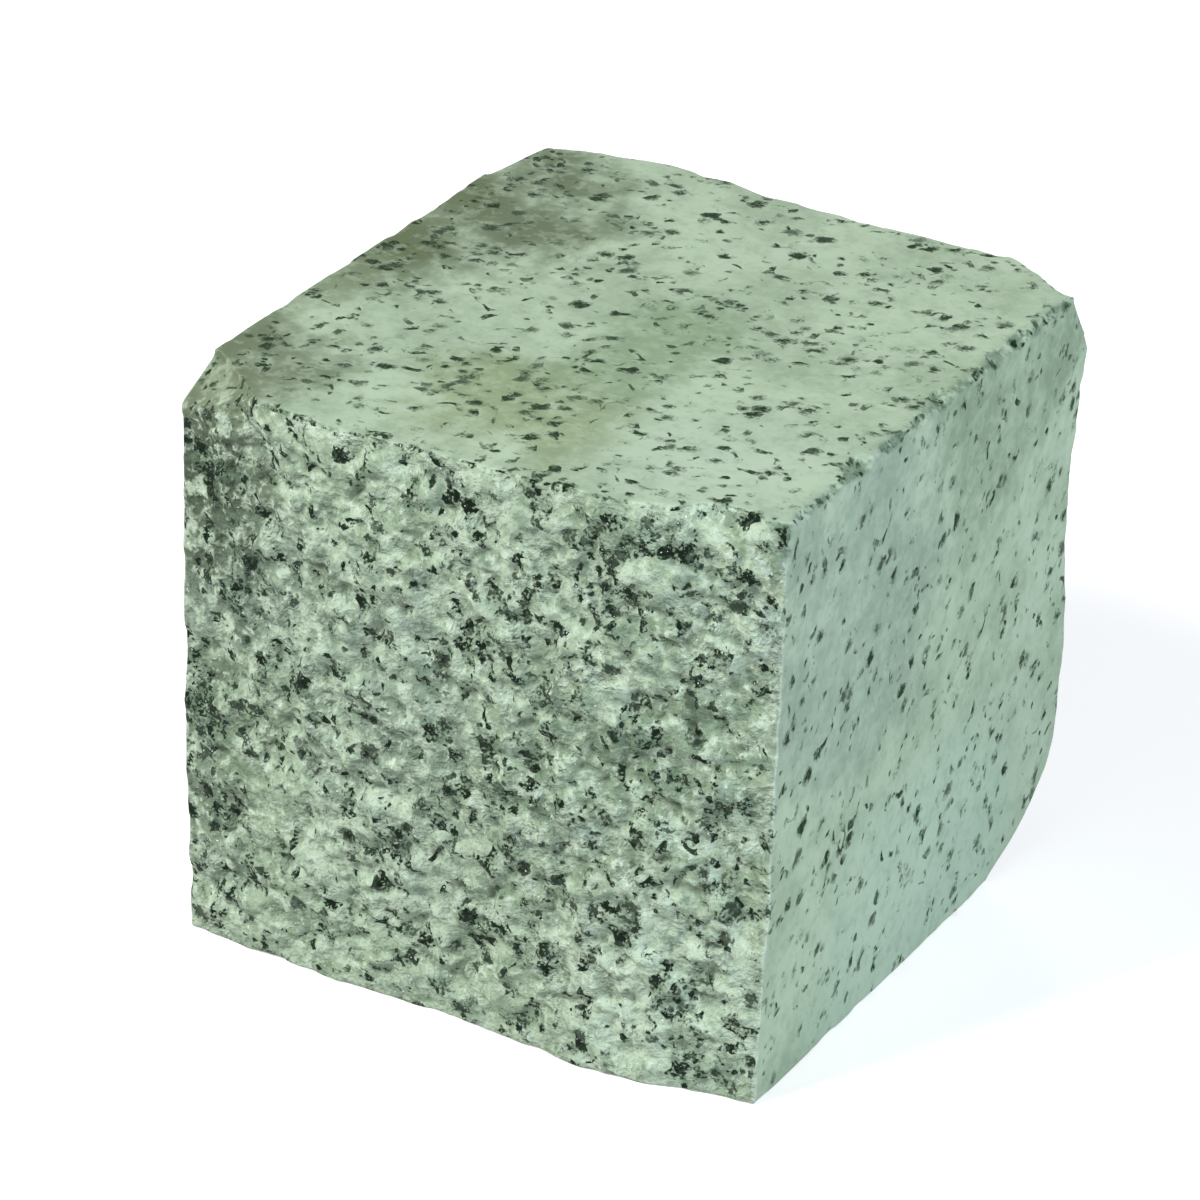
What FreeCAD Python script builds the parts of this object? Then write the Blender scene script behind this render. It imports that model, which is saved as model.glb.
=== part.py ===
"""Granite paving sett: a length of sawn granite strip, split off at both ends.

The strip is sawn on four sides, so the top, the bed and the two joint sides are flat and square.
The front (-Y) and the back (+Y) are split, so they are rough, flaked and out of true.
The middle of the bed is the origin, +Z is up and +X is to the right, seen from the front.
"""

import FreeCAD
import Part

import math
import os
import random

Vector = FreeCAD.Vector

# Sawn strip, in millimetres
SETT_WIDTH = 100.0
SETT_HEIGHT = 100.0
ARRIS_RADIUS = 0.8

# Mean distance between the two split faces
SETT_DEPTH = 104.0

# How far each split face stands proud of its mean plane, from the left to the right of the sett
FRONT_PROUD_AT_BED = (-2.5, -1.2, -2.5, -1.2, -6.5)
FRONT_PROUD_LOW = (-0.5, 1.5, 1.0, -0.5, -7.0)
FRONT_PROUD_HIGH = (0.5, 3.0, 2.5, 0.5, -6.5)
FRONT_PROUD_AT_TOP = (1.5, 5.0, 3.5, 1.0, -6.0)
BACK_PROUD_AT_BED = (-1.0, 1.0, 1.5, 2.0, 3.0)
BACK_PROUD_LOW = (0.5, 2.5, 2.0, 3.5, 4.0)
BACK_PROUD_HIGH = (-1.0, 2.5, 1.0, 2.0, 0.5)
BACK_PROUD_AT_TOP = (-2.0, 3.5, 1.5, 2.5, 4.5)

# The back split ran in under the stone, most of all at the right
UNDERCUT_LEFT = 7.0
UNDERCUT_RIGHT = 25.0
UNDERCUT_HEIGHT = 22.0

# Flakes that the splitting left on both faces: their size, how far their corners stray out of line,
# and how far those stand in or out of the face, over most of it and along its arrises
FLAKE_SIZE = 4.0
FLAKE_STRAY = 1.1
FLAKE_HEIGHT = 1.0
FLAKE_HEIGHT_AT_ARRIS = 0.25

# Corners knocked off: how far the break runs along the edges in X, Y and Z
FRONT_LEFT_SPALL = (15.0, 12.0, 6.0)
BACK_LEFT_SPALL = (3.5, 26.0, 9.0)
BACK_RIGHT_SPALL = (17.0, 10.0, 14.0)
SPALL_HOLLOW_RADIUS = 400.0

# Chips out of the front face's top and bed edges: place to the right of the middle, radius and depth
TOP_CHIP = (41.5, 12.0, 2.6)
BED_CHIP = (-27.0, 7.0, 1.2)

# Chips along the top right arris: their mean spacing, and the least and most of their radius and depth
ARRIS_CHIP_SPACING = 5.5
ARRIS_CHIP_RADIUS = (3.5, 6.5)
ARRIS_CHIP_DEPTH = (0.6, 1.3)

# How far the cut along a split face runs past the strip
OVERRUN = 5.0


def smooth_curve(values, share):
    """The height at a share, 0 to 1, of the way along a smooth curve through evenly spaced values."""
    spans = len(values) - 1
    place = min(max(share, 0.0), 1.0) * spans
    span = min(int(place), spans - 1)
    t = place - span
    before = values[max(span - 1, 0)]
    start = values[span]
    end = values[span + 1]
    after = values[min(span + 2, spans)]
    slope_start = (end - before) / 2
    slope_end = (after - start) / 2
    rise = end - start
    return start + t * (slope_start + t * (3 * rise - 2 * slope_start - slope_end
                                           + t * (slope_start + slope_end - 2 * rise)))


def front_face_y(x, z):
    """Where the split front lies, for a place across and up the sett."""
    across = x / SETT_WIDTH + 0.5
    rows = (FRONT_PROUD_AT_BED, FRONT_PROUD_LOW, FRONT_PROUD_HIGH, FRONT_PROUD_AT_TOP)
    proud = smooth_curve([smooth_curve(row, across) for row in rows], z / SETT_HEIGHT)
    return -SETT_DEPTH / 2 - proud


def back_face_y(x, z):
    """Where the split back lies, with its undercut above the bed."""
    across = x / SETT_WIDTH + 0.5
    rows = (BACK_PROUD_AT_BED, BACK_PROUD_LOW, BACK_PROUD_HIGH, BACK_PROUD_AT_TOP)
    proud = smooth_curve([smooth_curve(row, across) for row in rows], z / SETT_HEIGHT)
    undercut = UNDERCUT_LEFT + (UNDERCUT_RIGHT - UNDERCUT_LEFT) * across
    below = max(1 - z / UNDERCUT_HEIGHT, 0.0)
    return SETT_DEPTH / 2 + proud - undercut * below ** 3


def flake_lines(low, high):
    """Evenly spaced lines of flake corners from low to high, and one line past each end."""
    count = max(4, round((high - low) / FLAKE_SIZE))
    inner = [low + (high - low) * i / count for i in range(count + 1)]
    return [low - OVERRUN] + inner + [high + OVERRUN]


def flake_corners(face_y, direction):
    """A net of flake corners on a split face, by column and row, each moved a little by chance."""
    columns = flake_lines(-SETT_WIDTH / 2, SETT_WIDTH / 2)
    rows = flake_lines(0, SETT_HEIGHT)
    net = []
    for i, x in enumerate(columns):
        line = []
        for j, z in enumerate(rows):
            chance = random.Random(f"{direction} {i} {j}")
            inside = 1 < i < len(columns) - 2 and 1 < j < len(rows) - 2
            stray = FLAKE_STRAY if inside else 0.0
            height = FLAKE_HEIGHT if inside else FLAKE_HEIGHT_AT_ARRIS
            across = x + stray * chance.uniform(-1, 1)
            up = z + stray * chance.uniform(-1, 1)
            line.append(Vector(across, face_y(across, up) + height * chance.uniform(-1, 1), up))
        net.append(line)
    return net


def flat_face(*corners):
    """A flat face through its corners."""
    return Part.Face(Part.makePolygon(corners + corners[:1]))


def flakes_of(net):
    """Two flat flakes in each mesh of the net, on either side of its shorter diagonal."""
    flakes = []
    for left, right in zip(net, net[1:]):
        for a, b, c, d in zip(left, right, right[1:], left[1:]):
            if a.distanceToPoint(c) < b.distanceToPoint(d):
                flakes += [flat_face(a, b, c), flat_face(a, c, d)]
            else:
                flakes += [flat_face(a, b, d), flat_face(b, c, d)]
    return flakes


def waste_beyond(face_y, direction):
    """The stone that the split took away: a block whose near side is a net of flat flakes."""
    net = flake_corners(face_y, direction)
    far_y = direction * 2 * SETT_DEPTH
    loop = [net[0], [line[-1] for line in net], net[-1][::-1], [line[0] for line in net][::-1]]
    far = [Vector(side[0].x, far_y, side[0].z) for side in loop]
    walls = [flat_face(*side, end, start) for side, start, end in zip(loop, far, far[1:] + far[:1])]
    skin = Part.Compound(flakes_of(net) + walls + [flat_face(*far)])
    skin.sewShape()
    return Part.makeSolid(skin.Shells[0])


def sawn_strip():
    """The sawn strip before it was split, with its four long arrises just broken."""
    length = 2 * SETT_DEPTH
    corner = Vector(-SETT_WIDTH / 2, -length / 2, 0)
    strip = Part.makeBox(SETT_WIDTH, length, SETT_HEIGHT, corner)
    long_edges = [edge for edge in strip.Edges if abs(edge.tangentAt(edge.FirstParameter).y) > 0.5]
    return strip.makeFillet(ARRIS_RADIUS, long_edges)


def corner_spall(corner, inward, legs):
    """A shallow scoop over a corner: a large ball through the break's three ends on the edges."""
    ends = [corner + Vector(inward[0] * legs[0], 0, 0),
            corner + Vector(0, inward[1] * legs[1], 0),
            corner + Vector(0, 0, inward[2] * legs[2])]
    ring = Part.Circle(*ends)
    outward = Vector(ring.Axis)
    if outward.dot(corner - ring.Center) < 0:
        outward = outward * -1
    radius = SPALL_HOLLOW_RADIUS + ring.Radius
    return Part.makeSphere(radius, ring.Center + outward * math.sqrt(radius ** 2 - ring.Radius ** 2))


def spalls():
    """The three corners of the top that are knocked off."""
    half = SETT_WIDTH / 2
    top = SETT_HEIGHT
    front_left = Vector(-half, front_face_y(-half, top), top)
    back_left = Vector(-half, back_face_y(-half, top), top)
    back_right = Vector(half, back_face_y(half, top), top)
    return [corner_spall(front_left, (1, 1, -1), FRONT_LEFT_SPALL),
            corner_spall(back_left, (1, -1, -1), BACK_LEFT_SPALL),
            corner_spall(back_right, (-1, -1, -1), BACK_RIGHT_SPALL)]


def scoop(edge, outward, radius, depth):
    """A ball that takes a hollow of some depth out of an edge, from the side that outward points to."""
    return Part.makeSphere(radius, edge + outward.normalize() * (radius - depth))


def front_chips():
    """The chip out of the front face's top edge and the one out of its bed edge."""
    chips = []
    for (x, radius, depth), height, up in ((TOP_CHIP, SETT_HEIGHT, 1), (BED_CHIP, 0.0, -1)):
        edge = Vector(x, front_face_y(x, height), height)
        chips.append(scoop(edge, Vector(0, -1, up), radius, depth))
    return chips


def arris_chips():
    """Small chips all along the top right arris, with places and sizes by chance."""
    x = SETT_WIDTH / 2
    start = front_face_y(x, SETT_HEIGHT)
    length = back_face_y(x, SETT_HEIGHT) - start
    count = round(length / ARRIS_CHIP_SPACING)
    chips = []
    for i in range(count):
        chance = random.Random(f"arris {i}")
        y = start + length * (i + chance.random()) / count
        radius = chance.uniform(*ARRIS_CHIP_RADIUS)
        depth = chance.uniform(*ARRIS_CHIP_DEPTH)
        chips.append(scoop(Vector(x, y, SETT_HEIGHT), Vector(1, 0, 1), radius, depth))
    return chips


def granite_sett():
    """The strip with both ends split off and its breaks taken out, moved to stand on the origin."""
    sett = sawn_strip()
    sett = sett.cut([waste_beyond(front_face_y, -1), waste_beyond(back_face_y, 1)])
    sett = sett.cut(spalls() + front_chips() + arris_chips())
    sett = sett.Solids[0]
    box = sett.optimalBoundingBox(False)
    sett.translate(Vector(-box.Center.x, -box.Center.y, -box.ZMin))
    return sett


def main():
    os.makedirs("parts", exist_ok=True)
    sett = granite_sett()
    sett.exportStep("parts/granite_sett.step")
    box = sett.optimalBoundingBox(False)
    print(f"granite_sett: {box.XLength:.2f} x {box.YLength:.2f} x {box.ZLength:.2f} mm,"
          f" {sett.Volume / 1000:.1f} cm3, {len(sett.Faces)} faces, valid {sett.isValid()}")


main()
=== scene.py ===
import math
from types import SimpleNamespace

import bpy
import numpy as np
from mathutils import Matrix, Vector


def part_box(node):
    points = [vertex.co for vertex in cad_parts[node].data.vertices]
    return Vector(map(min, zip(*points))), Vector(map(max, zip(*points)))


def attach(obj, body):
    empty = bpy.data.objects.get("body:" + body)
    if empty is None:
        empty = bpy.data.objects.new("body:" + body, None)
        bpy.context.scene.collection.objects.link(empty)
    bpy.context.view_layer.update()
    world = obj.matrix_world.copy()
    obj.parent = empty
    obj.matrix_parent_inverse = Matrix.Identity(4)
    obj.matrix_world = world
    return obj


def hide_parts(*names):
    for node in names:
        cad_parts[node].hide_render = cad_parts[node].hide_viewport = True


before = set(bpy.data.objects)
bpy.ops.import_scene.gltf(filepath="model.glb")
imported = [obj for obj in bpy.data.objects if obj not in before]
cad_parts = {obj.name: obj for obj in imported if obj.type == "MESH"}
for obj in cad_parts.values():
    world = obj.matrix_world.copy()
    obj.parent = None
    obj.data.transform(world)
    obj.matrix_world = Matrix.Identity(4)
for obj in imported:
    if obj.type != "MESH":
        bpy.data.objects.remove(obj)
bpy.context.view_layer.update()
scene = bpy.context.scene
mm = 0.001


# the block: a closed shell of lattice points laid on the solid, then broken up
block = dict(
    cells=(172, 160, 172),       # lattice cells across, deep and high
    crowding=(0.3, 0.4, 0.3),    # how much closer the lattice lines stand at the arrises, 0 to 1
    rim=13,                      # cells along the arrises of a saw cut; one flat face fills its middle
    feelFrom=20 * mm,            # the solid is felt from this far outside
    castInset=1.2 * mm,          # its split faces this far inside their arrises
    easing=2,                    # passes that take the straight edges off its flakes
    chippedStrip=5 * mm,         # its top right arris over a strip this wide, and this deep at the most
    chippedFade=2.5 * mm,        # and its chips die out this near to the split faces
    chippedShown=0.5 * mm,       # a chip this deep looks wholly broken
    crystal=dict(pitch=3.4 * mm, height=0.6 * mm, crisp=10, seed=11),
    grain=dict(pitch=1.8 * mm, height=0.45 * mm, crisp=10, seed=12),
    stray=0.45,                  # how far a crystal's middle strays from its lattice place, in pitches
    repeat=48,                   # the crystals come again after this many pitches
    calmEdge=8 * mm,             # the relief dies down this near to the saw cuts
    calmShare=0.15,              # and this much of it is left at the arris
    hollowPasses=12,             # hollows are told by the relief less itself, softened this often
    arris=0.4 * mm,              # the least that every arris is broken
    arrisShown=0.3 * mm,         # a cut this deep looks wholly broken
    chip=dict(pitch=6.5 * mm, height=2.8 * mm, crisp=7, seed=18, above=0.1, bite=1.5),
    chipFine=dict(pitch=3.0 * mm, height=0.9 * mm, crisp=8, seed=19),
    chipShape=1.25,              # 1 breaks an arris flat, 2 breaks it round
    wearReach=0.7,               # the wear of the top right arris counts from this share of the way right
    wearFrom=0.75,               # and of the way up, begins where the two shares multiplied pass this one,
    wearSpan=0.2,                # and is whole this much further on
    quietWear=0.2,               # the share of the chipping that all other arrises get
    wornCorner=(16 * mm, 7 * mm),    # the front left corner of the top is smooth this far across and down,
    wornFade=0.25,                   # with a border that takes this share of it,
    wornShare=0.85,                  # and this much of its relief is gone
)


def crystalField(points, crystals):
    # middles jittered about a cubic lattice, each with a height and a slope of its own; a point takes
    # the mean of the planes around it, weighted by exp(-crisp * squared distance in pitches)
    repeat = block["repeat"]
    size = (repeat, repeat, repeat, 7)    # three traits of stray, one of height, three of slope
    table = np.random.default_rng(crystals["seed"]).uniform(-1, 1, size)
    place = points / crystals["pitch"]
    home = np.floor(place).astype(int)
    total = np.zeros(len(points))
    weight = np.zeros(len(points))
    for step in np.ndindex(3, 3, 3):
        cell = home + np.array(step) - 1
        traits = table[tuple((cell % repeat).T)]
        gap = place - (cell + 0.5 + block["stray"] * traits[:, :3])
        near = np.exp(-crystals["crisp"] * (gap ** 2).sum(1))
        total += near * (traits[:, 3] + (gap * traits[:, 4:]).sum(1))
        weight += near
    return total / weight


def latticeLines(low, high, cells, crowding):
    # even lines from low to high, drawn towards both ends by a sine
    t = np.linspace(0, 1, cells + 1)
    return low + (high - low) * (t - crowding * np.sin(2 * np.pi * t) / (2 * np.pi))


def feelSolid(target, points, axes, outward):
    # points held off the solid and pressed along an axis, or midway between two, until they meet it
    away = np.array([name in axes for name in "XYZ"]) * outward * block["feelFrom"] / len(axes) ** 0.5
    mesh = bpy.data.meshes.new("feeler")
    mesh.from_pydata(points + away, [], [])
    feeler = bpy.data.objects.new("feeler", mesh)
    scene.collection.objects.link(feeler)
    press = feeler.modifiers.new("press", "SHRINKWRAP")
    press.target = target
    press.wrap_method = "PROJECT"
    for name in axes:
        setattr(press, "use_project_" + name.lower(), True)
    press.use_positive_direction = outward < 0
    press.use_negative_direction = outward > 0
    felt = np.empty(points.size)
    feeler.evaluated_get(bpy.context.evaluated_depsgraph_get()).data.vertices.foreach_get("co", felt)
    bpy.data.objects.remove(feeler)
    bpy.data.meshes.remove(mesh)
    return felt.reshape(-1, 3)


def softened(sheet, passes):
    # each point becomes the mean of itself and its four neighbours, again and again
    for _ in range(passes):
        padded = np.pad(sheet, 1, mode="edge")
        sheet = (padded[1:-1, 1:-1] + padded[:-2, 1:-1] + padded[2:, 1:-1]
                 + padded[1:-1, :-2] + padded[1:-1, 2:]) / 5
    return sheet


def feelSplit(solid, x, y, z, outward):
    # how deep the solid's split face lies at each place across and up, felt from y and eased
    points = np.stack([x, np.full(x.shape, y), z], -1).reshape(-1, 3)
    return softened(feelSolid(solid, points, "Y", outward)[:, 1].reshape(x.shape), block["easing"])


def splitRelief(x, y, z):
    # the broken skin of a split face: crystals plus smaller grains, each a field times its height, and
    # times an S-curve that calms it towards the saw cuts
    points = np.stack([x, y, z], -1).reshape(-1, 3)
    relief = sum(part["height"] * crystalField(points, part) for part in (block["crystal"], block["grain"]))
    fromSaw = np.minimum(np.minimum(x - x.min(), x.max() - x), np.minimum(z - z.min(), z.max() - z))
    calm = (fromSaw / block["calmEdge"]).clip(0, 1)
    calm = block["calmShare"] + (1 - block["calmShare"]) * calm * calm * (3 - 2 * calm)
    return relief.reshape(x.shape) * calm


def outerShell(nx, ny, nz, rim):
    # numbers the lattice points on the outside of the block, but for the flat middles of the saw cuts,
    # and winds the quads between them, and the one face in each middle, outwards
    outside = np.zeros((nx + 1, ny + 1, nz + 1), bool)
    outside[[0, -1]] = True
    outside[:, [0, -1]] = True
    outside[:, :, [0, -1]] = True
    middle = slice(rim + 1, -rim - 1)
    outside[[0, -1], middle, middle] = False
    outside[middle, middle, 0] = False
    outside[middle, middle, -1] = False
    number = np.full(outside.shape, -1)
    number[outside] = np.arange(outside.sum())

    def quads(sheet):
        # every cell of a sheet whose four corners are numbered
        corners = [sheet[:-1, :-1], sheet[1:, :-1], sheet[1:, 1:], sheet[:-1, 1:]]
        cells = np.stack(corners, -1).reshape(-1, 4)
        return cells[cells.min(1) >= 0]

    def middleFace(sheet):
        # once round the inner edge of a sheet's rim
        inner = sheet[rim:-rim, rim:-rim]
        return np.concatenate([inner[:-1, 0], inner[-1, :-1], inner[:0:-1, -1], inner[0, :0:-1]])

    split = [number[:, 0], number[:, -1, ::-1]]
    sawn = [number[0, :, ::-1], number[-1], number[:, ::-1, 0], number[:, :, -1]]
    faces = np.concatenate([quads(sheet) for sheet in split + sawn]).tolist()
    return np.nonzero(outside), faces + [middleFace(sheet).tolist() for sheet in sawn]


def chipArris(solid, points, front, back, high):
    # near the top right arris points follow the solid's chips, midway between left and down, and the
    # move fades out at the split faces; moves points, gives how chipped each is, 0 to 1
    strip = block["chippedStrip"]
    near = np.nonzero(high.x - points[:, 0] + high.z - points[:, 2] < strip)[0]
    move = feelSolid(solid, points[near], "XZ", 1) - points[near]
    fromSplit = np.minimum(points[near, 1] - front[near], back[near] - points[near, 1])
    held = (fromSplit / block["chippedFade"]).clip(0, 1) * (np.abs(move).max(1) < strip)
    points[near] += move * held[:, None]
    chipped = np.zeros(len(points))
    chipped[near] = (np.abs(move).sum(1) * held / block["chippedShown"]).clip(0, 1)
    return chipped


def breakArrises(points, front, back, low, high):
    # two crystal fields give each point a breaking radius; its depths inside that radius, one from each
    # pair of faces, are scaled so that their power sum comes back to the radius, which cuts the arris;
    # moves points, gives how broken each is, 0 to 1, and how fresh its break is, which also weights the
    # painted highlight along a fresh arris
    chip = block["chip"]
    fine = block["chipFine"]
    chips = chip["height"] * (crystalField(points, chip) - chip["above"]).clip(0, 1) ** chip["bite"]
    fineChips = fine["height"] * crystalField(points, fine).clip(0, 1)
    across = (points[:, 0] / high.x).clip(block["wearReach"], 1)
    up = (points[:, 2] / high.z).clip(block["wearReach"], 1)
    worn = ((across * up - block["wearFrom"]) / block["wearSpan"]).clip(0, 1)
    wear = block["quietWear"] + (1 - block["quietWear"]) * worn
    radius = block["arris"] + (chips + fineChips) * wear
    gaps = np.stack([np.minimum(points[:, 0] - low.x, high.x - points[:, 0]),
                     np.minimum(points[:, 1] - front, back - points[:, 1]),
                     np.minimum(points[:, 2] - low.z, high.z - points[:, 2])], -1)
    inwards = np.stack([np.where(points[:, 0] < 0, 1, -1),
                        np.where(points[:, 1] - front < back - points[:, 1], 1, -1),
                        np.where(points[:, 2] < high.z / 2, 1, -1)], -1)
    depth = (radius[:, None] - gaps).clip(0, None)
    power = block["chipShape"]
    reach = (depth ** power).sum(1) ** (1 / power)
    leastReach = 1e-9    # keeps the division below from 0
    cut = depth * (1 - radius / reach.clip(leastReach, None))[:, None].clip(0, None)
    points += inwards * cut
    broken = (cut.sum(1) / block["arrisShown"]).clip(0, 1)
    belowTop = ((high.z - points[:, 2]) / block["calmEdge"]).clip(block["calmShare"], 1)
    return broken, broken * (1 - worn) * belowTop


def meshObject(name, points, faces):
    # a smooth mesh of the points and faces, at the origin
    mesh = bpy.data.meshes.new(name)
    mesh.from_pydata(points, [], faces)
    mesh.shade_smooth()
    piece = bpy.data.objects.new(name, mesh)
    scene.collection.objects.link(piece)
    return piece


def buildBlock():
    # y runs between the two split faces, which are the felt solid plus its relief, and x and z between
    # the saw cuts; then every arris is cut back by a radius that changes from crystal to crystal
    low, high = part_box("granite_sett")
    nx, ny, nz = block["cells"]
    xLines = latticeLines(low.x, high.x, nx, block["crowding"][0])
    depthLines = latticeLines(0, 1, ny, block["crowding"][1])
    zLines = latticeLines(low.z, high.z, nz, block["crowding"][2])
    inset = block["castInset"]
    x, z = np.meshgrid(xLines, zLines, indexing="ij")
    xIn = x.clip(low.x + inset, high.x - inset)
    zIn = z.clip(low.z + inset, high.z - inset)
    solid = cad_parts["granite_sett"]
    front = feelSplit(solid, xIn, low.y, zIn, -1)
    back = feelSplit(solid, xIn, high.y, zIn, 1)
    worn = 1 - (x - low.x) / block["wornCorner"][0] - (high.z - z) / block["wornCorner"][1]
    unworn = 1 - block["wornShare"] * (worn / block["wornFade"]).clip(0, 1)
    frontRelief = splitRelief(x, front, z) * unworn
    backRelief = splitRelief(x, back, z)
    front = (front - frontRelief).clip(low.y, high.y)
    back = (back + backRelief).clip(low.y, high.y)

    (i, j, k), faces = outerShell(nx, ny, nz, block["rim"])
    depth = back[i, k] - front[i, k]
    points = np.stack([xLines[i], front[i, k] + depth * depthLines[j], zLines[k]], -1)
    chipped = chipArris(solid, points, front[i, k], back[i, k], high)
    broken, fresh = breakArrises(points, front[i, k], back[i, k], low, high)

    # what the granite needs to know of each point
    onFront = j == 0
    split = np.where(onFront, unworn[i, k], j == ny)
    broken = np.maximum(broken, chipped)
    broken = np.where(onFront, broken * unworn[i, k], broken)
    frontHollow, backHollow = ((relief - softened(relief, block["hollowPasses"]))[i, k]
                               for relief in (frontRelief, backRelief))
    hollow = np.where(onFront, frontHollow, backHollow) * split / block["crystal"]["height"]
    piece = meshObject("granite_block", points, faces)
    for name, values in (("split", split), ("hollow", hollow), ("broken", broken), ("fresh", fresh)):
        piece.data.attributes.new(name, "FLOAT", "POINT").data.foreach_set("value", values)
    print("block:", len(points), "points,", sum(len(face) - 2 for face in faces), "triangles")
    return piece


# node maths: an expression on Sock values adds its Math nodes to the tree
class Sock:
    def __init__(self, tree, socket=None):
        self.tree = tree
        self.socket = socket

    def node(self, kind, settings=None, inputs=None, out=0):
        # any node: its settings first, then its sockets' values or links; gives one of its outputs
        made = self.tree.nodes.new(kind)
        for name, value in (settings or {}).items():
            setattr(made, name, value)
        for name, value in (inputs or {}).items():
            if isinstance(value, Sock):
                self.tree.links.new(value.socket, made.inputs[name])
            else:
                made.inputs[name].default_value = value
        return Sock(self.tree, made.outputs[out] if made.outputs else None)

    def also(self, out):
        # another output of the node that this value comes from
        return Sock(self.tree, self.socket.node.outputs[out])

    def calc(self, operation, *values):
        # one sum on numbers
        return self.node("ShaderNodeMath", {"operation": operation}, dict(enumerate(values)))

    def vector(self, operation, *values, out="Vector"):
        # one sum on vectors, whose result may be a number
        return self.node("ShaderNodeVectorMath", {"operation": operation}, dict(enumerate(values)), out)

    def scaled(self, share):
        # this vector times a number
        return self.node("ShaderNodeVectorMath", {"operation": "SCALE"}, {0: self, "Scale": share})

    def __add__(self, other):
        return self.calc("ADD", self, other)

    def __sub__(self, other):
        return self.calc("SUBTRACT", self, other)

    def __rsub__(self, other):
        return self.calc("SUBTRACT", other, self)

    def __mul__(self, other):
        return self.calc("MULTIPLY", self, other)

    __radd__ = __add__
    __rmul__ = __mul__

    def ramp(self, low, high, start=0.0, end=1.0):
        # start below low, end above high, an S-curve between
        inputs = {"Value": self, "From Min": low, "From Max": high, "To Min": start, "To Max": end}
        return self.node("ShaderNodeMapRange", {"interpolation_type": "SMOOTHSTEP"}, inputs)

    def mixed(self, first, second):
        # first where this value is 0, second where it is 1
        return self.node("ShaderNodeMix", {"data_type": "RGBA"}, {0: self, 6: first, 7: second}, 2)


def seen(red, green, blue):
    # a colour as it looks on a screen, 0 to 255, turned into light by the screen's own curve
    share = np.array([red, green, blue]) / 255
    light = np.where(share <= 0.04045, share / 12.92, ((share + 0.055) / 1.055) ** 2.4)
    return (*light.tolist(), 1.0)


# the stone; of a pair of strengths, the first holds everywhere and the second is added where it is broken
granite = dict(
    pale=seen(178, 199, 172),
    mid=seen(161, 182, 155),
    quartz=seen(106, 130, 108),
    blueQuartz=seen(144, 163, 158),
    fresh=seen(196, 217, 194),
    # the colours of the painted highlight on broken crests and of the painted shade in cracks and hollows
    crestHighlight=seen(224, 240, 221),
    creviceShade=seen(60, 70, 57),
    micaSawn=seen(20, 44, 18),
    micaSplit=seen(5, 24, 8),
    glint=seen(246, 250, 244),
    cloudSize=16 * mm,
    patchSize=8 * mm,
    crystalSize=3.6 * mm,
    mineralSize=3.2 * mm,
    splinterSize=1.5 * mm,
    mottleSize=1.2 * mm,
    sugarSize=0.55 * mm,
    crackSize=3 * mm,
    raggedSize=1.3 * mm,             # crystals and mica have edges that wander at this size,
    raggedReach=0.55 * mm,           # by this much
    wornRough=0.35,                  # how much a worn arris and a fresh one look like a split face
    freshRough=0.8,
    patchCalm=(0.6, -0.9),           # patches of a split face that are calmer than the rest
    wander=0.16,                     # how far a tint's edge strays, in its reaches squared, and how much of that is ragged
    wanderFine=0.3,                  # and how much of that is ragged
    sawnFade=(3 * mm, 0.5 * mm),     # tints come in between these depths below a saw cut, and between these behind the front's furthest point
    frontFade=(16 * mm, 8 * mm),     # and between these behind the front's furthest point
    toneMineral=0.75,                # what the tone is made of
    toneMottle=0.4,
    toneFeldspar=0.9,
    toneSplit=0.25,
    toneLess=0.4,
    blueStrength=0.35,
    quartzStrength=(0.2, 0.4),
    freshStrength=(0.2, 0.7),
    # strengths of the painted highlights on crests and fresh arrises, and of the painted shade in worn
    # chips, cracks and hollows
    crestHighlightStrength=0.42,
    freshHighlight=0.55,
    wornShadeStrength=0.65,
    crackShadeStrength=0.4,
    hollowShadeStrength=0.4,
    glintStrength=0.8,
    micaSize=3.1 * mm,
    micaFineSize=1.6 * mm,
    micaAcross=(0.5, -0.74, 0.45),   # the flakes lie across this direction, flattened by the next share
    micaFlat=0.4,
    chainSize=7 * mm,                # mica lies in chains and in clumps of these sizes
    clumpSize=9 * mm,
    micaLeast=0.08,                  # the share of grains that are mica: everywhere,
    micaChain=0.46,                  # in the chains as well,
    micaClump=(0.1, 0.42),           # in the clumps,
    micaWorn=0.65,                   # and on the worn arris
    micaFineShare=(0.4, 0.25),       # the fine grains' share, as a part of that
    rightFade=(46 * mm, 50 * mm),    # the right side has less of it, in smaller grains,
    rightLess=0.15,
    rightSmaller=0.05,
    leftFade=(-30 * mm, -44 * mm),   # and the left has more, with crisper edges
    leftMore=0.25,
    leftCrisper=0.06,
    grainBulk=(0.23, 0.32),          # the least radius of a grain and its range, in cells
    grainDark=(0.75, 0.45),          # its least darkness and the range of that
    grainKept=0.03,                  # grains fade in over this much of the share
    grainRagged=(0.07, 0.05),
    grainSoft=(0.25, -0.11),
    hazeFade=(-0.45, 0.1),           # where the haze round a grain begins and ends, from its edge
    hazeStrength=(0.2, 0.25),
    clumpStrength=(0.05, 0.25),
    micaMottle=0.4,
    crystalTilt=0.5,
    splinterTilt=0.4,
    bumpStrength=(0.15, 0.6),
    bumpDepth=1.5 * mm,
    bumpHeight=0.06,
    roughness=(0.8, -0.25),
    specular=0.12,
)

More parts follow.
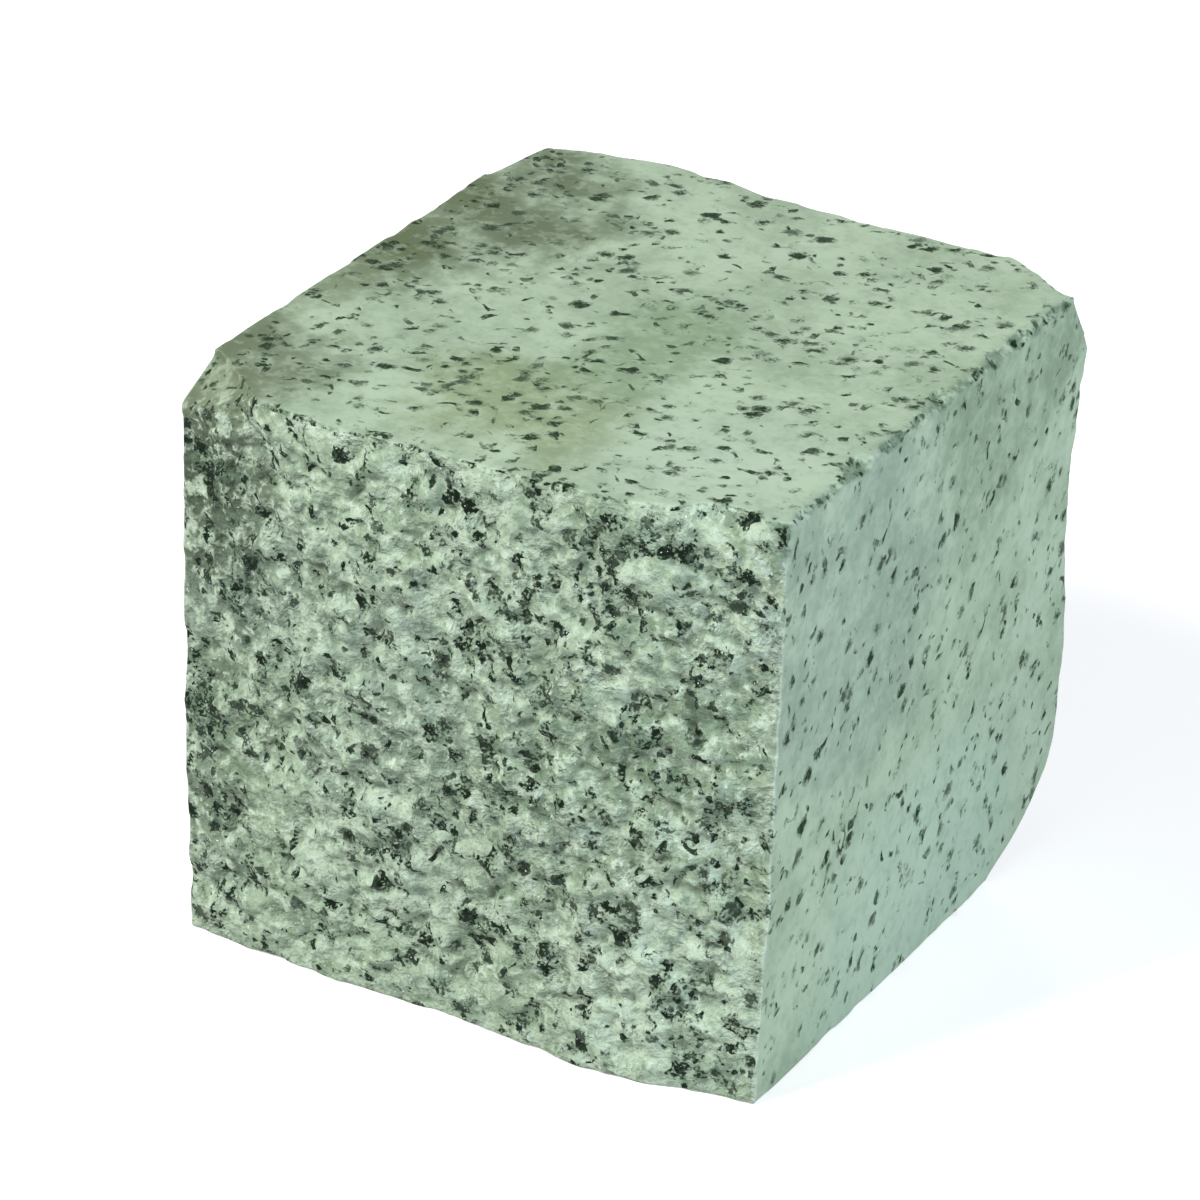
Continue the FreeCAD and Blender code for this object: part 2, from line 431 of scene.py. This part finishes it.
# marks on the faces of the stone: middle and reach in mm, colour and strength
tints = dict(
    top=[
        dict(at=(-40, 22), reach=(25, 36), colour=seen(76, 86, 55), strength=0.8),
        dict(at=(-44, -40), reach=(19, 18), colour=seen(82, 92, 64), strength=0.75),
        dict(at=(-51, 0), reach=(15, 56), colour=seen(94, 106, 72), strength=0.6),
        dict(at=(-2, -36), reach=(24, 20), colour=seen(126, 142, 92), strength=0.55),
        dict(at=(5, -10), reach=(13, 24), colour=seen(128, 152, 118), strength=0.6),
        dict(at=(33, -34), reach=(24, 24), colour=seen(190, 211, 190), strength=0.4),
    ],
    front=[
        # the front: darker towards its left edge, paler in patches across the middle and right
        dict(at=(-44, 92), reach=(16, 18), colour=seen(98, 104, 76), strength=0.6),
        dict(at=(-45, 73), reach=(27, 27), colour=seen(54, 67, 48), strength=0.8),
        dict(at=(-50, 26), reach=(14, 22), colour=seen(72, 88, 68), strength=0.5),
        dict(at=(-9, 58), reach=(15, 24), colour=seen(118, 136, 132), strength=0.4),
        dict(at=(17, 54), reach=(15, 24), colour=seen(104, 128, 102), strength=0.45),
        dict(at=(38, 62), reach=(18, 28), colour=seen(104, 128, 102), strength=0.35),
        dict(at=(-12, 27), reach=(20, 18), colour=seen(200, 221, 198), strength=0.6),
        dict(at=(10, 82), reach=(18, 16), colour=seen(196, 217, 194), strength=0.45),
        dict(at=(34, 17), reach=(24, 22), colour=seen(204, 224, 201), strength=0.7),
    ],
    right=[
        dict(at=(28, 94), reach=(34, 28), colour=seen(126, 148, 120), strength=0.6),
        dict(at=(-24, 76), reach=(40, 40), colour=seen(147, 167, 150), strength=0.6),
        dict(at=(8, 14), reach=(46, 30), colour=seen(184, 210, 188), strength=0.6),
    ],
)

# the noises by their octaves, with the spread about the middle that those give
octaves = dict(
    slow=dict(detail=2, roughness=0.5, spread=0.087),
    rich=dict(detail=2, roughness=0.6, spread=0.082),
    plain=dict(detail=1, roughness=0.5, spread=0.099),
)
seedStep = np.array([0.37, -0.53, 0.71])    # how far one seed lies from the next
noiseMiddle = 0.5                           # the middle of every noise and of every chance

# where each layer begins and where it is whole, in spreads of its noise if no note says otherwise
fades = dict(
    pale=(-1.5, 1.5),
    patch=(-1.3, 1.3),
    feldspar=(0.35, 0.75),    # of a crystal's own chance, 0 to 1
    blue=(0.8, 2.4),
    quartz=(0.0, -2.0),       # of the tone
    fresh=(-0.2, 1.6),        # of the tone
    # the painted highlight on crests, and the painted shade on worn arrises and in cracks
    crestHighlight=(0.9, 2.0),
    wornShade=(0.6, -0.6),
    creviceShade=(0.14, 0.0),
    cracked=(0.3, -1.0),      # the mottle where cracks show
    chain=(1.0, 0.0),
    clump=(0.3, 1.7),
    micaPale=(0.0, 2.4),
    hollow=(-0.1, -1.4),      # painted shade in the hollows, in heights of a crystal
    glint=(2.4, 2.7),
)


def grown(pair, mask):
    # the first of a pair, plus the second times the mask
    return pair[0] + pair[1] * mask


def moved(where, seed):
    # the same coordinates, taken from another part of the pattern
    return where.vector("ADD", where, tuple(seed * seedStep))


def noise(where, size, kind, seed):
    # a noise less its middle, over its own spread, so that about one part in six lies above 1
    inputs = {"Vector": moved(where, seed), "Scale": 1 / size, "Detail": octaves[kind]["detail"],
              "Roughness": octaves[kind]["roughness"]}
    level = where.node("ShaderNodeTexNoise", {}, inputs, "Fac")
    return (level - noiseMiddle) * (1 / octaves[kind]["spread"])


def scatter(where, size, seed, out):
    # middles strewn by chance: how far the nearest lies, or the colour that it has by chance
    return where.node("ShaderNodeTexVoronoi", {}, {"Vector": moved(where, seed), "Scale": 1 / size}, out)


def warped(where, size, reach, seed):
    # each point pushed aside by up to the reach each way, along a noise
    inputs = {"Vector": moved(where, seed), "Scale": 1 / size, "Detail": 0}
    push = where.node("ShaderNodeTexNoise", {}, inputs, "Color")
    return where.vector("ADD", where, where.vector("SUBTRACT", push, (noiseMiddle,) * 3).scaled(2 * reach))


def flattened(where, across, share):
    # adds a share of the distance across the flakes, along across, so that round grains lie down flat
    away = where.vector("DOT_PRODUCT", where, across, out="Value")
    push = where.node("ShaderNodeCombineXYZ", {}, dict(enumerate(away * (share * part) for part in across)))
    return where.vector("ADD", where, push)


def micaGrains(where, size, share, ragged, soft, seed):
    # each grain's own bulk, plus the ragged noise, less the distance from its middle, through a soft edge;
    # it has a darkness of its own and is kept where its own chance is below the share; gives the grains
    # and the haze that lies round them
    spread = scatter(where, size, seed, "Distance")
    chance = where.node("ShaderNodeSeparateColor", {}, {0: spread.also("Color")}, "Red")
    kept = (share - chance).ramp(0.0, granite["grainKept"])
    inside = grown(granite["grainBulk"], chance.also("Green")) + ragged - spread
    grains = inside.ramp(-1 * soft, soft) * kept * grown(granite["grainDark"], chance.also("Blue"))
    return grains, inside.ramp(*granite["hazeFade"]) * kept


def tinted(skin, colour, wander):
    # soft ellipses on each face: the squared distance from the middle, in reaches, fades from the core to
    # the edge, and a slow noise pushes both in and out
    low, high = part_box("granite_sett")
    sawnFrom, sawnTo = granite["sawnFade"]
    frontFrom, frontTo = granite["frontFade"]
    onFace = {"top": skin.axes["Z"].ramp(high.z - sawnFrom, high.z - sawnTo),
              "front": skin.axes["Y"].ramp(low.y + frontFrom, low.y + frontTo),
              "right": skin.axes["X"].ramp(high.x - sawnFrom, high.x - sawnTo)}
    across = {"top": [0, 1], "front": [0, 2], "right": [1, 2]}
    edge = 1 - wander
    core = 0 - wander
    for face, marks in tints.items():
        marked = colour
        for mark in marks:
            scale, shift = np.zeros((2, 3))
            scale[across[face]] = 1 / (np.array(mark["reach"]) * mm)
            shift[across[face]] = -np.array(mark["at"]) / mark["reach"]
            spread = skin.place.vector("MULTIPLY_ADD", skin.place, tuple(scale), tuple(shift))
            distance = skin.place.vector("DOT_PRODUCT", spread, spread, out="Value")
            marked = distance.ramp(edge, core, 0.0, mark["strength"]).mixed(marked, mark["colour"])
        colour = onFace[face].mixed(colour, marked)
    return colour


def readSkin(start):
    # what every layer reads: the place, the block's own attributes, and noises in spreads about 0;
    # rough is 1 on a split face and less on a broken arris, lively is 1 but for a split face's patches
    place = start.node("ShaderNodeTexCoord", out="Object")
    axes = {name: start.node("ShaderNodeSeparateXYZ", {}, {0: place}, name) for name in "XYZ"}
    split, hollow, broken, fresh = (start.node("ShaderNodeAttribute", {"attribute_name": name}, out="Fac")
                                    for name in ("split", "hollow", "broken", "fresh"))
    worn = broken - fresh
    rough = start.calc("MAXIMUM", split, granite["wornRough"] * worn + granite["freshRough"] * fresh)
    cloud = noise(place, granite["cloudSize"], "slow", seed=1)
    mineral = noise(place, granite["mineralSize"], "rich", seed=2)
    mottle = noise(place, granite["mottleSize"], "rich", seed=4)
    sugar = noise(place, granite["sugarSize"], "plain", seed=9)
    patch = noise(place, granite["patchSize"], "plain", seed=12).ramp(*fades["patch"])
    lively = 1 - split * grown(granite["patchCalm"], patch)
    ragged = warped(place, granite["raggedSize"], granite["raggedReach"], seed=14)
    crystals = scatter(ragged, granite["crystalSize"], seed=3, out="Color")
    return SimpleNamespace(place=place, axes=axes, split=split, hollow=hollow, fresh=fresh, worn=worn,
                           rough=rough, cloud=cloud, mineral=mineral, mottle=mottle, sugar=sugar,
                           lively=lively, ragged=ragged, crystals=crystals)


def mineralLayers(start, skin):
    # feldspar and quartz: faint on the saw cuts, strong where the crystals are broken open; the tone is a
    # weighted sum of the noises and of each crystal's own chance, quartz below 0 and fresh feldspar above
    feldspar = start.node("ShaderNodeSeparateColor", {}, {0: skin.crystals}, "Red").ramp(*fades["feldspar"])
    colour = skin.cloud.ramp(*fades["pale"]).mixed(granite["mid"], granite["pale"])
    wander = granite["wander"] * (skin.cloud + granite["wanderFine"] * skin.mineral)
    colour = tinted(skin, colour, wander)
    bluish = (skin.cloud - skin.mineral).ramp(*fades["blue"]) * skin.split
    colour = (bluish * granite["blueStrength"]).mixed(colour, granite["blueQuartz"])
    tone = (granite["toneMineral"] * skin.mineral + granite["toneMottle"] * skin.mottle * skin.lively
            + granite["toneFeldspar"] * feldspar - granite["toneLess"] + granite["toneSplit"] * skin.split)
    quartz = tone.ramp(*fades["quartz"]) * grown(granite["quartzStrength"], skin.rough)
    colour = quartz.mixed(colour, granite["quartz"])
    fresh = tone.ramp(*fades["fresh"]) * grown(granite["freshStrength"], skin.rough)
    return fresh.mixed(colour, granite["fresh"])


def brokenLayers(start, skin, colour):
    # painted highlights on the crests of broken crystals where the mottle is high; pale fresh arrises,
    # fresh stone with a painted highlight along the edge; worn arrises darkened by painted shade in their
    # chips; and cracks: thin lines of painted shade where a noise passes through its middle
    # painted highlight: crests of broken crystals lightened towards the highlight colour
    crestHighlight = skin.mottle.ramp(*fades["crestHighlight"]) * skin.rough * skin.lively
    colour = (crestHighlight * granite["crestHighlightStrength"]).mixed(colour, granite["crestHighlight"])
    # pale fresh arrises: the fresh stone's own paleness, with a painted highlight along the edge
    colour = (skin.fresh * granite["freshHighlight"]).mixed(colour, granite["crestHighlight"])
    # painted shade: the chipped hollows of the worn arris darkened towards the quartz colour
    wornShade = skin.worn * skin.mineral.ramp(*fades["wornShade"])
    colour = (wornShade * granite["wornShadeStrength"]).mixed(colour, granite["quartz"])
    # painted shade: crevices between crystals drawn as thin dark lines
    line = start.calc("ABSOLUTE", noise(skin.place, granite["crackSize"], "rich", seed=13))
    creviceShade = line.ramp(*fades["creviceShade"]) * skin.mottle.ramp(*fades["cracked"]) * skin.rough
    return (creviceShade * granite["crackShadeStrength"]).mixed(colour, granite["creviceShade"])


def micaLayers(start, skin, colour):
    # mica: black where the stone is split, paler and softer where it is sawn; in chains along the borders
    # of slow patches, where a noise is near its middle, and in clumps, where another is high
    split = skin.split
    border = start.calc("ABSOLUTE", noise(skin.place, granite["chainSize"], "plain", seed=6))
    clump = noise(skin.place, granite["clumpSize"], "slow", seed=10).ramp(*fades["clump"])
    onRight = skin.axes["X"].ramp(*granite["rightFade"])
    onLeft = skin.axes["X"].ramp(*granite["leftFade"])
    share = (granite["micaLeast"] + granite["micaChain"] * border.ramp(*fades["chain"])
             + clump * grown(granite["micaClump"], split) + granite["micaWorn"] * skin.worn)
    share = share * (1 - granite["rightLess"] * onRight + granite["leftMore"] * onLeft)
    ragged = grown(granite["grainRagged"], split) * skin.sugar - granite["rightSmaller"] * onRight
    soft = grown(granite["grainSoft"], split) - granite["leftCrisper"] * onLeft
    fineShare = grown(granite["micaFineShare"], split) * share
    flakes = flattened(skin.ragged, granite["micaAcross"], granite["micaFlat"])
    coarse, coarseHaze = micaGrains(flakes, granite["micaSize"], share, ragged, soft, seed=7)
    fine, fineHaze = micaGrains(flakes, granite["micaFineSize"], fineShare, ragged, soft, seed=8)
    haze = start.calc("MAXIMUM", coarseHaze, fineHaze)
    grey = haze * grown(granite["hazeStrength"], split) + clump * grown(granite["clumpStrength"], split)
    colour = grey.mixed(colour, granite["quartz"])
    mica = split.mixed(granite["micaSawn"], granite["micaSplit"])
    mica = (skin.mottle.ramp(*fades["micaPale"]) * granite["micaMottle"]).mixed(mica, granite["quartz"])
    return start.calc("MAXIMUM", coarse, fine).mixed(colour, mica)


def brokenNormal(start, skin):
    # every broken crystal has a facet of its own, and so has every splinter of it: the normal plus the
    # chance colour less its middle, times a tilt; and a small bump over it
    splinters = scatter(skin.ragged, granite["splinterSize"], seed=5, out="Color")
    normal = start.node("ShaderNodeNewGeometry", out="Normal")
    for facets, tilt in ((skin.crystals, granite["crystalTilt"]), (splinters, granite["splinterTilt"])):
        lean = start.vector("SUBTRACT", facets, (noiseMiddle,) * 3).scaled(skin.split * skin.lively * tilt)
        normal = start.vector("ADD", normal, lean)
    inputs = {"Strength": grown(granite["bumpStrength"], skin.split), "Distance": granite["bumpDepth"],
              "Height": skin.mottle * granite["bumpHeight"], "Normal": start.vector("NORMALIZE", normal)}
    return start.node("ShaderNodeBump", {}, inputs)


def newMaterial(name):
    # an empty material, and the value that its nodes start from
    material = bpy.data.materials.new(name)
    material.use_nodes = True
    material.node_tree.nodes.clear()
    return material, Sock(material.node_tree)


def graniteMaterial():
    # layer over layer: minerals, what is broken, mica, then painted shade in the hollows between crystals
    # and painted glints
    material, start = newMaterial("granite")
    skin = readSkin(start)
    colour = mineralLayers(start, skin)
    colour = brokenLayers(start, skin, colour)
    colour = micaLayers(start, skin, colour)
    # painted shade: the hollows between crystals darkened towards the crevice shade colour
    hollow = skin.hollow.ramp(*fades["hollow"])
    colour = (hollow * granite["hollowShadeStrength"]).mixed(colour, granite["creviceShade"])
    glint = skin.sugar.ramp(*fades["glint"]) * skin.rough
    colour = (glint * granite["glintStrength"]).mixed(colour, granite["glint"])
    inputs = {"Base Color": colour, "Roughness": grown(granite["roughness"], skin.split),
              "Normal": brokenNormal(start, skin), "Specular IOR Level": granite["specular"]}
    shader = start.node("ShaderNodeBsdfPrincipled", {}, inputs)
    start.node("ShaderNodeOutputMaterial", {}, {"Surface": shader})
    print("granite:", len(material.node_tree.nodes), "nodes")
    return material


# the floor, the light and the camera
studio = dict(
    white=(1, 1, 1, 1),
    floorHalf=3.0,
    floorColour=(0.9, 0.9, 0.9, 1),
    floorBounce=(0.5, 0.5, 0.5, 1),      # what the floor sends back to the stone
    floorGlow=0.5,
    skyLight=0.18,
    lamps=dict(
        key=dict(place=(-0.52, -0.86, 1.0), power=16.9, size=0.4, colour=(1.0, 0.99, 0.96)),
        fill=dict(place=(1.15, -0.1, 0.5), power=9.7, size=0.6, colour=(0.9, 0.98, 1.13)),
        back=dict(place=(-0.6, 1.0, 0.17), power=5.0, size=0.3, colour=(1.0, 1.0, 1.0)),
    ),
)

view = dict(
    azimuth=28.7117,                     # degrees from the front towards the right
    elevation=28.2856,
    roll=2.6949,
    distance=899.4 * mm,
    aside=-5.16 * mm,                    # the camera's own step to its right, and up
    above=1.52 * mm,
    lens=171.0,
    sensor=36.0,
    aim=(0.0, 0.58 * mm, 50 * mm),       # about the middle of the stone
)


def shownDirectly(start):
    # 1 where the camera sees a thing, also mirrored or through glass
    path = start.node("ShaderNodeLightPath", out="Is Camera Ray")
    mirrored = start.calc("MAXIMUM", path.also("Is Glossy Ray"), path.also("Is Transmission Ray"))
    return start.calc("MAXIMUM", path, mirrored)


def buildFloor():
    # a square under the stone: white with the shadow where it is seen, duller where it lights the stone
    half = studio["floorHalf"]
    corners = np.array([(-half, -half, 0), (half, -half, 0), (half, half, 0), (-half, half, 0)])
    floor = meshObject("floor", corners, [(0, 1, 2, 3)])
    material, start = newMaterial("floor_white")
    matt = start.node("ShaderNodeBsdfDiffuse", {}, {"Color": studio["floorColour"]})
    glow = start.node("ShaderNodeEmission", {}, {"Color": studio["white"], "Strength": studio["floorGlow"]})
    white = start.node("ShaderNodeAddShader", {}, {0: matt, 1: glow})
    bounce = start.node("ShaderNodeBsdfDiffuse", {}, {"Color": studio["floorBounce"]})
    shown = start.node("ShaderNodeMixShader", {}, {0: shownDirectly(start), 1: bounce, 2: white})
    start.node("ShaderNodeOutputMaterial", {}, {"Surface": shown})
    floor.data.materials.append(material)


def addLamp(name, place, power, size, colour):
    # a square lamp that faces the point that the camera looks at
    lamp = bpy.data.lights.new(name, "AREA")
    lamp.energy = power
    lamp.size = size
    lamp.color = colour
    holder = bpy.data.objects.new(name, lamp)
    holder.location = place
    holder.rotation_euler = (Vector(view["aim"]) - Vector(place)).to_track_quat("-Z", "Y").to_euler()
    scene.collection.objects.link(holder)


def lightStudio():
    # a sky that looks white and gives only its share of light, and the lamps
    world = bpy.data.worlds.new("studio")
    world.use_nodes = True
    world.node_tree.nodes.clear()
    start = Sock(world.node_tree)
    strength = shownDirectly(start) * (1 - studio["skyLight"]) + studio["skyLight"]
    sky = start.node("ShaderNodeBackground", {}, {"Color": studio["white"], "Strength": strength})
    start.node("ShaderNodeOutputWorld", {}, {"Surface": sky})
    scene.world = world
    for name, lamp in studio["lamps"].items():
        addLamp(name, **lamp)
    print("studio: lit by", len(studio["lamps"]), "lamps")


def placeCamera():
    # level axes from the azimuth and elevation, then the roll turns right and up about the line of sight
    a, e, roll = (math.radians(view[name]) for name in ("azimuth", "elevation", "roll"))
    right = Vector((math.cos(a), math.sin(a), 0))
    up = Vector((-math.sin(a) * math.sin(e), math.cos(a) * math.sin(e), math.cos(e)))
    ahead = up.cross(right)
    place = Vector(view["aim"]) - ahead * view["distance"] + right * view["aside"] + up * view["above"]
    turnedRight = right * math.cos(roll) + up * math.sin(roll)
    turnedUp = up * math.cos(roll) - right * math.sin(roll)
    data = bpy.data.cameras.new("camera")
    data.sensor_fit = "HORIZONTAL"
    data.sensor_width = view["sensor"]
    data.lens = view["lens"]
    camera = bpy.data.objects.new("camera", data)
    axes = Matrix((turnedRight, turnedUp, -ahead)).transposed()
    camera.matrix_world = Matrix.Translation(place) @ axes.to_4x4()
    scene.collection.objects.link(camera)
    scene.camera = camera
    print("camera: placed")


stone = buildBlock()
stone.data.materials.append(graniteMaterial())
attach(stone, "root")
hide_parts("granite_sett")
buildFloor()
lightStudio()
placeCamera()
scene.view_settings.view_transform = "Standard"
